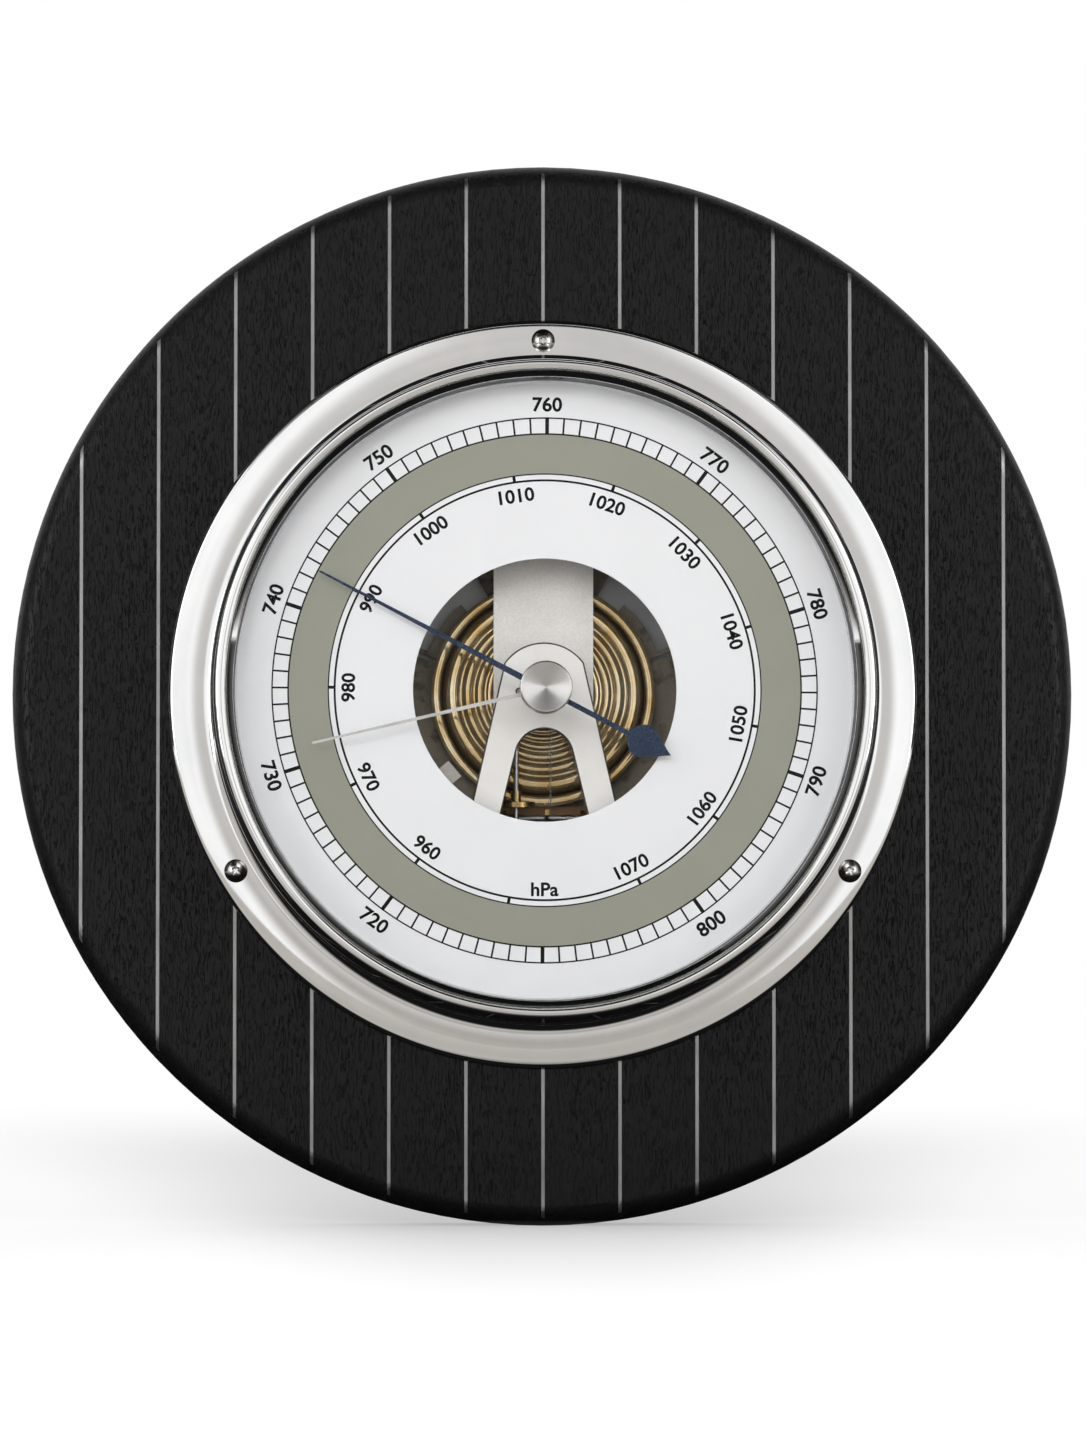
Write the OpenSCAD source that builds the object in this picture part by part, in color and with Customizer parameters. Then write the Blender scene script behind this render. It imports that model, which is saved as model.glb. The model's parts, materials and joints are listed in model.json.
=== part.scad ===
// Round wall barometer: a chromed ship's case on a black wooden board with pale inlay
// strips, an open dial and the aneroid movement behind it.
// Every sub-part is drawn as seen from the front: x to the right, y up, z out from the wall.
// upright() then stands it against a wall behind it, so that the front faces -Y and +Z is up.

/* [Board] */
// Outer diameter of the wooden board
board_d = 210; // [190:1:240]
// Thickness of the board
board_t = 16; // [14:0.5:22]
// Radius of the rounded front edge
board_round = 4; // [2:0.5:6]
// Wood left behind the pocket that takes the case back
pocket_floor = 4; // [3:0.5:6]
// Distance from one inlay strip to the next
strip_pitch = 15.2; // [12:0.2:20]
// Width of the groove that holds an inlay strip
strip_w = 0.75; // [0.5:0.05:1.5]
// Depth of the grooves
strip_depth = 0.8; // [0.5:0.1:1.5]

/* [Case] */
// Width of the screwed-on flange around the drum
flange_w = 10.2; // [9.5:0.1:16]
// Outer diameter of the drum that carries the bezel
drum_d = 127.6; // [124:0.2:128]
// Thickness of the pressed case metal
sheet_t = 0.8; // [0.6:0.1:1]
// Radius of the fillet between flange and drum
drum_fillet = 3; // [1:0.25:3.25]
// Width of the bezel's lip, from the drum's outside to the free opening
lip_w = 3.6; // [3.4:0.1:4.8]
// Radius of the bead on the bezel
bead_r = 1.1; // [0.8:0.05:1.3]
// Height of the bezel's skirt over the drum
bezel_skirt = 9; // [6:0.5:12]
// Thickness of the glass
glass_t = 2.5; // [2:0.25:4]
// Diameter of a flange screw's head
screw_head_d = 4.7; // [4:0.1:5]

/* [Dial and hands] */
// Diameter of the opening that shows the movement
dial_hole_d = 51.2; // [46:0.2:56]
// Thickness of the dial plate
dial_t = 0.8; // [0.5:0.1:1.2]
// Free height between the dial and the glass
dial_to_glass = 7; // [6.5:0.25:9]
// Length of the pointer from its axis to its tip
pointer_l = 49.6; // [40:0.2:55]
// Length of the pointer's tail from its axis to the point of the spade
tail_l = 27.6; // [24:0.2:30]
// Width of the spade on the tail
spade_w = 6.4; // [4:0.2:9]
// Length of the set hand from its axis to its tip
set_hand_l = 46.2; // [38:0.2:52]
// Diameter of the knob in front of the glass
knob_d = 10.1; // [8:0.1:14]
// Height of the knob
knob_h = 6.5; // [5:0.25:10]
// Pointer's angle from twelve o'clock at rest, clockwise positive
pointer_angle = -62.3; // [-90:0.1:0]
// Set hand's angle from twelve o'clock at rest
set_angle = -103.1; // [-180:0.1:180]

/* [Movement] */
// Radius of the movement's base plate
plate_r = 38; // [37.5:0.25:42]
// Thickness of the base plate
plate_t = 1.5; // [1:0.1:2]
// Outer radius of the aneroid capsule
capsule_r = 21.9; // [20:0.1:22.2]
// Height of each diaphragm's face above the rim
capsule_half = 2.4; // [1.8:0.1:2.8]
// Number of corrugations in each diaphragm
waves = 8; // [5:1:10]
// Width of the flat main spring
spring_w = 19.6; // [17:0.2:22]
// Thickness of the main spring
spring_t = 0.6; // [0.4:0.05:0.9]
// Radius of the chain drum on the pointer arbor
drum_r = 1; // [0.9:0.05:1.1]
// Length of the rocker's chain arm
chain_arm_l = 9; // [8:0.1:9.5]
// Length of the rocker's link arm
link_arm_l = 2.2; // [2:0.1:2.6]
// Radius of the pointer arbor
arbor_r = 0.75; // [0.6:0.05:0.8]
// Radius of the round top of the bridge
bridge_top_r = 9.6; // [9.2:0.1:11]
// Thickness of the bridge
bridge_t = 1.2; // [1:0.1:1.6]

/* [Hidden] */
$fn = 96;
small_fn = 48;

// over lets a cutter run past a face, snug is a pressed or soldered seat, slip lies between
// nested parts, run is a running fit, and air is kept between parts that only pass each other
over = 0.2;
snug = 0.01;
slip = 0.05;
run = 0.05;
air = 0.3;

// Board
board_r = board_d / 2;
back_round = 1.5;
strip_count = floor((board_r - board_round) / strip_pitch);

// Case, from the wall outwards
drum_out = drum_d / 2;
drum_in = drum_out - sheet_t;
flange_h = 2 * sheet_t;
flange_r = drum_out + flange_w;
flange_top = board_t + flange_h;
flange_round = 1;
screw_r = 1.5;
screw_head_r = screw_head_d / 2;
screw_circle_r = flange_r - screw_head_r - 1.75;
screw_l = board_t - pocket_floor - 1;
screw_dome = 0.9;
screw_cross_w = 0.6;
pan_r = drum_in - 1.6;
pan_rim_r = screw_circle_r - screw_r - 0.4;
pocket_r = pan_r + air;
pan_z = pocket_floor + air;
pan_top = pan_z + sheet_t;
rim_top = board_t + sheet_t;

// Movement, from the base plate outwards
post_h = 3.9;
plate_z = pan_top + post_h;
plate_top = plate_z + plate_t;
plate_slot_w = 0.8;
capsule_gap = 1.85;
skin_t = 0.25;
wave_h = 0.35;
centre_r = 4.2;
step_w = 1.8;
rim_w = 1.7;
step_out = capsule_r - rim_w;
step_in = step_out - step_w;
capsule_rear_z = plate_top + capsule_gap;
capsule_mid = capsule_rear_z + skin_t + capsule_half;
capsule_top = capsule_mid + capsule_half + skin_t;
stem_r = 2;
nut_h = 2;
spring_z = capsule_top + 1.95;
spring_top = spring_z + spring_t;
spring_root = capsule_r + 6.1;
spring_grip = 8;
spring_end = -7;
clamp_t = 1.2;
bracket_foot_t = 1.5;
post_r = 1.6;
pin_r = 0.45;
pin_l = 6;

// Lever and rocker
lever_x = -5.4;
lever_r = 0.5;
lever_z = spring_top + 0.9;
block_l = 3.4;
block_h = 1.8;
rocker_y = -(capsule_r + 2.7);
disc_r = 3.8;
disc_y = rocker_y + 2.1;
rocker_z = capsule_mid + 2;
rocker_lean = -6;
link_y = rocker_y - link_arm_l * cos(rocker_lean);
link_r = 0.3;
link_play = 0.35;
shaft_r = 0.8;
pivot_r = 0.35;
ear_x = 7.4;
ear_t = 0.8;
arm_t = 0.8;
bracket_t = 1;
chain_w = 0.4;
chain_t = 0.3;
chain_gap = 0.1;
chain_x = drum_r + chain_gap;
chain_y = rocker_y - chain_arm_l * sin(rocker_lean);
chain_z = rocker_z + chain_arm_l * cos(rocker_lean);

// Arbor, cock and bridge
cock_z = spring_top + 2.4;
cock_t = 0.8;
cock_w = 4;
cock_x = 6.6;
tenon_r = 0.6;
drum_h = 1.2;
bush_r = 2.2;
bridge_z = chain_z + 2.1;
bridge_top = bridge_z + bridge_t;
bridge_foot = [13.4, -(capsule_r + 10)];
foot_r = 2.95;
cap_angle = 36;
leg_angle = 13;
notch_y = -12.9;
notch_r = 5.6;

// Hairspring: a flat spiral from the collet out to the stud
hairspring_z = cock_z + cock_t + 0.8;
hairspring_h = 0.6;
spiral_turns = 5;
spiral_in = 1.35;
spiral_out = 4.4;
spiral_t = 0.12;
spiral_steps = spiral_turns * 20;
stud_r = 0.42;
stud_x = spiral_out + stud_r + spiral_t / 2 + 0.02;

// Dial, glass and hands
dial_z = bridge_top + 6;
dial_top = dial_z + dial_t;
sleeve_t = 1.1;
glass_z = dial_top + dial_to_glass;
glass_top = glass_z + glass_t;
gasket_t = 0.4;
drum_top = glass_z - gasket_t;
glass_r = drum_out - 0.1;
lip_r = drum_out - lip_w;
seat_r = lip_r + 0.7;
bezel_t = 0.6;
bezel_r = drum_out + slip + bezel_t;
bead_at = [lip_r + 1.5 + bead_r, glass_top + bead_r - 0.1];
roll_at = [bezel_r, glass_top - bezel_skirt];
hand_t = 0.4;
hand_z = dial_top + 2.6;
hub_r = 1.7;
boss_r = 2.6;
spade_l = 9.4;
spade_steps = 24;
spade_y = spade_l - tail_l;
set_hand_z = glass_z - 1.6;
set_hub_h = 0.6;
set_hub_top = set_hand_z + hand_t + set_hub_h;
spindle_r = 1.5;
spindle_top = knob_h - 1.5;
knob_z = glass_top + 0.6;
knob_round = 0.35;

// Small screws: shank radius, head radius and head height
base_screw = [1.15, 2.2, 1.4];
bracket_screw = [1.15, 1.9, 1.2];
clamp_screw = [1.1, 2, 1.2];
bridge_screw = [1.1, 2.3, 1.3];
slot_w = 0.5;
rivet_r = 0.8;

// Places of the small screws and rivets
post_ring = plate_r - 5;
bracket_screw_at = [14, spring_root + 2.5];
clamp_screw_at = [6, spring_root + spring_grip / 2];
rivet_at = [11.5, rocker_y - 1];

// Hanger on the back of the board
hanger_y = board_r - 22;
hanger_w = 22;
hanger_l = 30;
hanger_t = 1.2;
hanger_screw_at = [8, hanger_y + 1];
hanger_screw_r = 1.25;
hanger_head_r = 2.3;
hanger_screw_l = 8.5;
key_r = 4.5;
key_slot_r = 2.2;
key_y = hanger_y - (hanger_l - hanger_w) / 2;
key_rise = 7;
key_depth = 3;

// Adjusting screw, reached through the board from behind
adjust_y = spring_root + spring_grip / 2;
adjust_r = 1.5;
adjust_head_r = 3;
adjust_hole_r = adjust_head_r + 2;

post_angles = [30, 150, 270];
flange_angles = [90, 210, 330];
vent_angles = [40, 140];

function polar(r, a) = r * [cos(a), sin(a)];

function arc(at, r, a0, a1) = [for (k = [0:12]) at + polar(r, a0 + (a1 - a0) * k / 12)];

// The same points on the left side, in the opposite order
function mirrored(side) = [for (i = [len(side) - 1:-1:0]) [-side[i][0], side[i][1]]];

module upright() rotate([90, 0, 0]) children();

module disc(r, z0, z1) translate([0, 0, z0]) cylinder(r = r, h = z1 - z0);

module tube(r_out, r_in, z0, z1) difference() {
    disc(r_out, z0, z1);
    disc(r_in, z0 - over, z1 + over);
}

module bar(x0, x1, y0, y1, z0, z1) translate([x0, y0, z0]) cube([x1 - x0, y1 - y0, z1 - z0]);

// A round rod along x or along y, starting at the given point
module rod_x(r, l, at) translate(at) rotate([0, 90, 0]) cylinder(r = r, h = l, $fn = small_fn);

module rod_y(r, l, at) translate(at) rotate([-90, 0, 0]) cylinder(r = r, h = l, $fn = small_fn);

module around(angles, r) for (a = angles) rotate(a) translate([r, 0, 0]) children();

module both_sides() {
    children();
    mirror([1, 0, 0]) children();
}

// A cheese-head screw whose head stands on z, with its shank below
module slotted_screw(screw, shank_l, z) difference() {
    union() {
        disc(screw[1], z, z + screw[2]);
        disc(screw[0], z - shank_l, z + over);
    }
    bar(-screw[1] - 1, screw[1] + 1, -slot_w / 2, slot_w / 2, z + screw[2] / 2, z + screw[2] + 1);
}

// A spherical cap of radius r at its foot and height h
module dome(r, h, z) {
    ball_r = (r * r + h * h) / (2 * h);
    intersection() {
        translate([0, 0, z + h - ball_r]) sphere(ball_r);
        disc(r, z, z + h);
    }
}

// Board and inlay

module board_blank() rotate_extrude() {
    square([board_r - board_round, board_t]);
    translate([0, back_round]) square([board_r, board_t - board_round - back_round]);
    square([board_r - back_round, back_round + over]);
    translate([board_r - board_round, board_t - board_round]) circle(board_round);
    translate([board_r - back_round, back_round]) circle(back_round);
}

module groove_bars(w, z0, z1) for (i = [-strip_count:strip_count])
    bar(i * strip_pitch - w / 2, i * strip_pitch + w / 2, -board_r - 1, board_r + 1, z0, z1);

module flange_screw_holes() around(flange_angles, screw_circle_r)
    disc(screw_r + slip, board_t - screw_l - air, board_t + over);

module keyhole(grow, z0, z1) {
    translate([0, key_y, 0]) disc(key_r + grow, z0, z1);
    translate([0, key_y + key_rise, 0]) disc(key_slot_r + grow, z0, z1);
    bar(-key_slot_r - grow, key_slot_r + grow, key_y, key_y + key_rise, z0, z1);
}

module hanger_outline(grow) translate([0, hanger_y]) {
    square([hanger_w + 2 * grow, hanger_l - hanger_w], center = true);
    for (side = [-1, 1])
        translate([0, side * (hanger_l - hanger_w) / 2]) circle(hanger_w / 2 + grow);
}

module board() color("#232323") upright() difference() {
    board_blank();
    groove_bars(strip_w, board_t - strip_depth, board_t + over);
    disc(pocket_r, pocket_floor, board_t + over);
    flange_screw_holes();
    translate([0, adjust_y, 0]) disc(adjust_hole_r + 0.8, -over, pocket_floor + over);
    translate([0, 0, -over]) linear_extrude(hanger_t + over) hanger_outline(slip);
    keyhole(1, 0, hanger_t + key_depth);
    both_sides() translate(hanger_screw_at) disc(hanger_screw_r + slip, 0, hanger_screw_l + air);
}

module inlay_strips() color("#c9c9c5") upright() difference() {
    intersection() {
        board_blank();
        groove_bars(strip_w - 2 * slip, board_t - strip_depth, board_t + over);
    }
    disc(pocket_r, pocket_floor, board_t + over);
    flange_screw_holes();
}

module hanger_plate() color("#b9bbbd") upright() difference() {
    linear_extrude(hanger_t) hanger_outline(0);
    keyhole(0, -over, hanger_t + over);
    both_sides() translate(hanger_screw_at) translate([0, 0, -snug])
        cylinder(r1 = hanger_head_r + slip, r2 = hanger_screw_r + slip, h = hanger_t + 2 * snug);
}

module hanger_screws() color("#a9abad") upright() both_sides() translate(hanger_screw_at) difference() {
    union() {
        cylinder(r1 = hanger_head_r, r2 = hanger_screw_r, h = hanger_t);
        disc(hanger_screw_r, hanger_t - over, hanger_screw_l);
    }
    bar(-hanger_head_r - 1, hanger_head_r + 1, -slot_w / 2, slot_w / 2, -over, slot_w);
}

// Case

module case_back() color("#8d9092") upright() difference() {
    union() {
        disc(pan_r, pan_z, rim_top);
        disc(pan_rim_r, board_t, rim_top);
    }
    disc(pan_r - sheet_t, pan_top, rim_top + over);
    translate([0, adjust_y, 0]) disc(adjust_hole_r, pan_z - over, pan_top + over);
    around(post_angles, post_ring) disc(base_screw[0] + slip, pan_z - over, pan_top + over);
    around(vent_angles, pan_r - 8) disc(1, pan_z - over, pan_top + over);
}

// Section of the case: up the drum, down its outside over the fillet and out to the rolled rim
case_section = concat(
    [[drum_in, rim_top], [drum_in, drum_top], [drum_out, drum_top]],
    arc([drum_out + drum_fillet, flange_top + drum_fillet], drum_fillet, 180, 270),
    arc([flange_r - flange_round, flange_top - flange_round], flange_round, 90, 0),
    [[flange_r, board_t], [flange_r - sheet_t, board_t], [flange_r - sheet_t, rim_top]]
);

module case_shell() color("#d5d6d8") upright() difference() {
    rotate_extrude() polygon(case_section);
    around(flange_angles, screw_circle_r) translate([0, 0, flange_top - sheet_t - slip])
        cylinder(r1 = screw_r + slip, r2 = screw_head_r + slip, h = sheet_t + 2 * slip);
}

module flange_screws() color("#c4c5c7") upright() around(flange_angles, screw_circle_r) difference() {
    union() {
        translate([0, 0, flange_top - sheet_t])
            cylinder(r1 = screw_r, r2 = screw_head_r - slip, h = sheet_t);
        dome(screw_head_r - slip, screw_dome, flange_top);
        disc(screw_r, board_t - screw_l, flange_top - sheet_t / 2);
    }
    for (turn = [12, 102]) rotate(turn)
        bar(-1.4, 1.4, -screw_cross_w / 2, screw_cross_w / 2, flange_top, flange_top + screw_dome + 1);
}

// From the lip over the bead and down the skirt, whose edge is rolled outwards
module bezel_ring() color("#d9dadc") upright() rotate_extrude() polygon(concat(
    [[lip_r, glass_top], [lip_r, glass_top + 0.35], [lip_r + 0.25, glass_top + 0.6]],
    [[lip_r + 1.2, glass_top + 1.2]],
    arc(bead_at, bead_r, 170, -25),
    [[bezel_r - 0.4, glass_top + bezel_t], [bezel_r, glass_top + bezel_t - 0.4]],
    arc(roll_at, bezel_t, 90, -180),
    [[drum_out + slip, glass_top]]
));

module glass_gasket() color("#1c1c1c") upright() tube(glass_r, seat_r, drum_top, glass_z);

module glass() color([0.85, 0.93, 0.95, 0.25]) upright()
    tube(glass_r, spindle_r + run, glass_z, glass_top);

// The ring between dial and glass opens towards the glass
module spacer_ring() color("#c3c5c7") upright() rotate_extrude() polygon([
    [lip_r - 0.4, dial_top], [drum_in - slip, dial_top], [drum_in - slip, drum_top], [seat_r, drum_top]
]);

module dial() color("#eceeef") upright() tube(drum_in - air, dial_hole_d / 2, dial_z, dial_top);

module dial_sleeve() color("#9fa1a3") upright()
    tube(drum_in - slip, drum_in - slip - sleeve_t, rim_top, dial_z);

// Movement frame

module ring_sector(r_in, r_out, a0, a1) difference() {
    intersection() {
        circle(r_out);
        polygon(concat([[0, 0]], [for (k = [0:3]) polar(2 * r_out, a0 + (a1 - a0) * k / 3)]));
    }
    circle(r_in);
}

module radial_slot(a, r0, r1) rotate(a)
    translate([r0, -plate_slot_w / 2]) square([r1 - r0, plate_slot_w]);

// Openings in the base plate: two windows and two narrow slots on each side
module plate_windows() both_sides() {
    ring_sector(capsule_r + 2.3, capsule_r + 7.5, 21, 50);
    ring_sector(capsule_r - 1, capsule_r + 7.5, 48, 61);
    radial_slot(18, capsule_r - 3, capsule_r + 6);
    radial_slot(-58, capsule_r + 1, capsule_r + 6);
}

module base_plate() color("#6a6b67") upright() difference() {
    disc(plate_r, plate_z, plate_top);
    translate([0, 0, plate_z - over]) linear_extrude(plate_t + 2 * over) plate_windows();
    disc(stem_r + slip, plate_z - over, plate_top + over);
    around(post_angles, post_ring) disc(base_screw[0] + slip, plate_z - over, plate_top + over);
    translate([0, adjust_y, 0]) disc(adjust_r + run, plate_z - over, plate_top + over);
    both_sides() translate(bracket_screw_at)
        disc(bracket_screw[0] + snug, plate_z - over, plate_top + over);
    both_sides() translate(rivet_at) disc(rivet_r + snug, plate_z - over, plate_top + over);
}

module base_posts() color("#a7a9aa") upright() around(post_angles, post_ring)
    tube(3, base_screw[0] + slip, pan_top, plate_z);

module base_screws() color("#b0a070") upright() around(post_angles, post_ring)
    slotted_screw(base_screw, plate_top - pan_z, plate_top);

module limit_tab() color("#9a7b4a") upright() rotate(220) translate([capsule_r + 3.2, 0, 0]) {
    bar(-2.4, 1, -2, 2, plate_top, plate_top + 0.6);
    bar(0.4, 1, -2, 2, plate_top, plate_top + 6);
}

// Aneroid capsule: two corrugated skins joined at the rim

function skin_height(r) =
    r > step_out ? 0
    : r > step_in ? (step_out - r) / step_w * capsule_half
    : r < centre_r ? capsule_half
    : capsule_half - wave_h * (1 - cos(360 * waves * (step_in - r) / (step_in - centre_r)));

wave_steps = waves * 8;
skin_radii = concat(
    [capsule_r, step_out],
    [for (i = [0:wave_steps]) step_in - i * (step_in - centre_r) / wave_steps],
    [post_r]
);

module skin() rotate_extrude() polygon(concat(
    [for (r = skin_radii) [r, skin_height(r) + skin_t]],
    [for (i = [len(skin_radii) - 1:-1:0]) [skin_radii[i], skin_height(skin_radii[i])]]
));

module capsule_front() color("#c09a4e") upright() {
    translate([0, 0, capsule_mid]) skin();
    tube(capsule_r + skin_t, capsule_r, capsule_mid - skin_t, capsule_mid + skin_t);
}

module capsule_rear() color("#b08c46") upright() translate([0, 0, capsule_mid]) mirror([0, 0, 1]) skin();

module capsule_stud() color("#8d8f90") upright() {
    disc(stem_r, plate_z - nut_h - 1, capsule_rear_z);
    disc(post_r - snug, capsule_rear_z - over, capsule_rear_z + skin_t + 0.3);
}

module capsule_nut() color("#b59a52") upright() difference() {
    translate([0, 0, plate_z - nut_h]) cylinder(r = 4.2, h = nut_h, $fn = 6);
    disc(stem_r + snug, plate_z - nut_h - over, plate_z + over);
}

module capsule_post() color("#9b9c9c") upright() difference() {
    union() {
        disc(post_r - snug, capsule_top - skin_t - 0.4, spring_top + 1.3);
        disc(centre_r - 1.2, capsule_top, capsule_top + 0.8);
    }
    rod_x(pin_r + snug, pin_l + 2, [-pin_l / 2 - 1, 0, spring_top + pin_r + snug]);
}

module post_pin() color("#d0d1d2") upright() rod_x(pin_r, pin_l, [-pin_l / 2, 0, spring_top + pin_r + snug]);

// Main spring, its bracket and the lever

module spring_bracket() color("#77797a") upright() difference() {
    union() {
        bar(-spring_w / 2 - 1, spring_w / 2 + 1, spring_root, spring_root + spring_grip, plate_top, spring_z);
        bar(-bracket_screw_at[0] - 2, bracket_screw_at[0] + 2,
            spring_root, spring_root + 5, plate_top, plate_top + bracket_foot_t);
    }
    translate([0, adjust_y, 0]) disc(adjust_r + run, plate_top - over, plate_top + 2);
    both_sides() translate(bracket_screw_at)
        disc(bracket_screw[0] + slip, plate_top - over, plate_top + bracket_foot_t + over);
    both_sides() translate(clamp_screw_at) disc(clamp_screw[0] + slip, spring_z - 4, spring_z + over);
}

module bracket_screws() color("#b0a070") upright() both_sides() translate(bracket_screw_at)
    slotted_screw(bracket_screw, bracket_foot_t + plate_t, plate_top + bracket_foot_t);

module main_spring() color("#cfcdc8") upright() difference() {
    bar(-spring_w / 2, spring_w / 2, spring_end, spring_root + spring_grip, spring_z, spring_top);
    disc(post_r + air, spring_z - over, spring_top + over);
    both_sides() translate(clamp_screw_at)
        disc(clamp_screw[0] + slip, spring_z - over, spring_top + over);
}

module clamp_plate() color("#8f9192") upright() difference() {
    bar(-spring_w / 2, spring_w / 2, spring_root + 0.5, spring_root + spring_grip - 0.5,
        spring_top, spring_top + clamp_t);
    both_sides() translate(clamp_screw_at)
        disc(clamp_screw[0] + slip, spring_top - over, spring_top + clamp_t + over);
}

module clamp_screws() color("#b0a070") upright() both_sides() translate(clamp_screw_at)
    slotted_screw(clamp_screw, clamp_t + spring_t + 3.5, spring_top + clamp_t);

module lever_block() color("#b59a52") upright() difference() {
    bar(lever_x - 1.6, lever_x + 1.6, spring_end + over, spring_end + over + block_l,
        spring_top, spring_top + block_h);
    rod_y(lever_r + snug, block_l + 2, [lever_x, spring_end - 0.8, lever_z]);
}

module lever_rod() color("#c3c4c5") upright()
    rod_y(lever_r, spring_end + block_l - link_y, [lever_x, link_y - 0.8, lever_z]);

module balance_nut() color("#a98f4c") upright() difference() {
    union() {
        rod_y(disc_r, 1, [lever_x, disc_y, lever_z]);
        rod_y(1, 3.2, [lever_x, disc_y, lever_z]);
    }
    rod_y(lever_r + snug, 4, [lever_x, disc_y - over, lever_z]);
}

module lever_link() color("#c8c9ca") upright() difference() {
    translate([lever_x, link_y, 0]) {
        disc(link_r, rocker_z - 1.4, lever_z);
        disc(1, lever_z - 1.1, lever_z + 1.1);
    }
    rod_y(lever_r + snug, 4, [lever_x, link_y - 2, lever_z]);
}

// Rocker: the shaft that turns the lever's stroke into a pull on the chain

module rocker_bracket() color("#9c6f45") upright() difference() {
    union() {
        bar(-ear_x - 5.5, ear_x + 5.5, rocker_y - 3, rocker_y + 2.4, plate_top, plate_top + bracket_t);
        both_sides() {
            bar(ear_x, ear_x + ear_t, rocker_y - 1.6, rocker_y + 1.6, plate_top, rocker_z);
            rod_x(1.6, ear_t, [ear_x, rocker_y, rocker_z]);
        }
    }
    rod_x(pivot_r + run, 2 * (ear_x + ear_t + 1), [-ear_x - ear_t - 1, rocker_y, rocker_z]);
    both_sides() translate(rivet_at)
        disc(rivet_r + snug, plate_top - over, plate_top + bracket_t + over);
}

module rocker_rivets() color("#a98f4c") upright() both_sides() translate(rivet_at) {
    disc(rivet_r, plate_z, plate_top + bracket_t + over);
    dome(rivet_r + 0.5, 0.5, plate_top + bracket_t);
}

module rocker_shaft() color("#bfc0c1") upright() {
    rod_x(shaft_r, 2 * (ear_x - air), [-ear_x + air, rocker_y, rocker_z]);
    rod_x(pivot_r, 2 * (ear_x + ear_t), [-ear_x - ear_t, rocker_y, rocker_z]);
}

// The arms leave the shaft at right angles; at rest both lean by rocker_lean
module on_rocker() translate([0, rocker_y, rocker_z]) rotate([rocker_lean, 0, 0]) children();

module chain_arm() color("#b59a52") upright() on_rocker() difference() {
    union() {
        rod_x(1.5, arm_t, [drum_r - arm_t, 0, 0]);
        bar(drum_r - arm_t, drum_r, -0.55, 0.55, 0, chain_arm_l + 0.8);
    }
    rod_x(shaft_r + snug, arm_t + 2, [drum_r - arm_t - 1, 0, 0]);
}

module link_arm() color("#b59a52") upright() on_rocker() difference() {
    union() {
        rod_x(1.3, arm_t, [lever_x - arm_t / 2, 0, 0]);
        bar(lever_x - arm_t / 2, lever_x + arm_t / 2, -link_arm_l, 0, -arm_t / 2, arm_t / 2);
        translate([lever_x, -link_arm_l, 0]) disc(1.1, -arm_t / 2, arm_t / 2);
    }
    rod_x(shaft_r + snug, arm_t + 2, [lever_x - arm_t / 2 - 1, 0, 0]);
    translate([lever_x, -link_arm_l, 0]) disc(link_r + link_play, -1, 1);
}

module chain() color("#8a8b8c") upright()
    bar(chain_x, chain_x + chain_w, chain_y - chain_t, 0, chain_z - chain_t / 2, chain_z + chain_t / 2);

// Bridge, cock, arbor and hairspring

// Right half of the bridge: the round top, down and round the foot, and up to the round notch
bridge_side = concat(
    arc([0, 0], bridge_top_r, 87, cap_angle),
    arc(bridge_foot, foot_r, leg_angle, leg_angle - 180),
    arc([0, notch_y], notch_r, leg_angle, 87)
);

module bridge() color("#d3d2ce") upright() difference() {
    translate([0, 0, bridge_z]) linear_extrude(bridge_t)
        polygon(concat(bridge_side, mirrored(bridge_side)));
    disc(bush_r + snug, bridge_z - over, bridge_top + over);
    both_sides() translate(bridge_foot) disc(bridge_screw[0] + slip, bridge_z - over, bridge_top + over);
    both_sides() translate([cock_x, 0, 0]) disc(tenon_r + snug, bridge_z - over, bridge_top + over);
    translate([-stud_x, 0, 0]) disc(stud_r + snug, bridge_z - over, bridge_top + over);
}

module bridge_pillars() color("#a7a9aa") upright() both_sides() translate(bridge_foot)
    tube(2.5, bridge_screw[0] + slip, plate_top, bridge_z);

module bridge_screws() color("#c8c9ca") upright() both_sides() translate(bridge_foot)
    slotted_screw(bridge_screw, bridge_t + 6, bridge_top);

module arbor_bush() color("#b59a52") upright() difference() {
    union() {
        disc(bush_r, bridge_z, bridge_top);
        disc(bush_r + 0.6, bridge_top, bridge_top + 0.6);
    }
    disc(arbor_r + run, bridge_z - over, bridge_top + 1);
}

module arbor_cock() color("#b59a52") upright() difference() {
    union() {
        bar(-cock_x, cock_x, -cock_w / 2, cock_w / 2, cock_z, cock_z + cock_t);
        both_sides() translate([cock_x, 0, 0]) disc(cock_w / 2, cock_z, cock_z + cock_t);
    }
    disc(pivot_r + run, cock_z - over, cock_z + cock_t + over);
    both_sides() translate([cock_x, 0, 0]) disc(tenon_r + snug, cock_z - over, cock_z + cock_t + over);
}

module cock_pillars() color("#b0a070") upright() both_sides() translate([cock_x, 0, 0]) {
    disc(1.1, cock_z + cock_t, bridge_z);
    disc(tenon_r, cock_z, bridge_top);
}

function spiral(i, off) = polar(
    spiral_in + (spiral_out - spiral_in) * i / spiral_steps + off,
    180 + 360 * spiral_turns * i / spiral_steps
);

module hairspring() color("#6f7f9a") upright() translate([0, 0, hairspring_z])
    linear_extrude(hairspring_h) polygon(concat(
        [for (i = [0:spiral_steps]) spiral(i, spiral_t / 2)],
        [for (i = [spiral_steps:-1:0]) spiral(i, -spiral_t / 2)]
    ));

module hairspring_stud() color("#c8c9ca") upright() translate([-stud_x, 0, 0])
    disc(stud_r, hairspring_z - over, bridge_top);

module hairspring_collet() color("#b59a52") upright()
    tube(1.2, arbor_r + snug, hairspring_z - over, hairspring_z + hairspring_h);

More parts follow.
